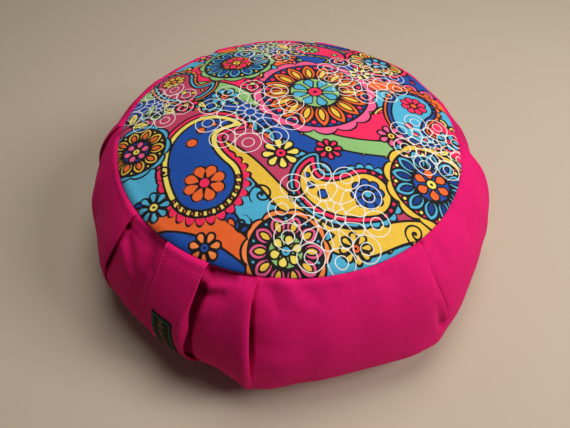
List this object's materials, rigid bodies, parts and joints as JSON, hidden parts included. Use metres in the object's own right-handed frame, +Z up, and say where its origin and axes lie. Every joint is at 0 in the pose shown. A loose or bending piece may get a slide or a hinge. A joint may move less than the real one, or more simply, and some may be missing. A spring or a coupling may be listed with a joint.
{
  "type": "zafu meditation cushion",
  "caption": "Round filled floor cushion with a domed printed top, a pleated side band, a flat base, a carry strap down one side and a small woven label.",
  "frame": {"origin": "centre of the base panel's underside, on the floor", "axes": "+Z up through the crown; -Y is the front seen in the picture; +X to the right. The strap and label are on the front left, at 240 degrees from +X"},
  "size_m": [0.3873, 0.3879, 0.1517],
  "materials": {
    "magenta_canvas": "matte",
    "printed_canvas": "matte",
    "woven_label": "matte"
  },
  "bodies": {
    "root": {"side_band": "magenta_canvas", "top_panel": "printed_canvas", "bottom_panel": "magenta_canvas", "carry_strap": "magenta_canvas", "label": "woven_label"}
  },
  "joints": []
}
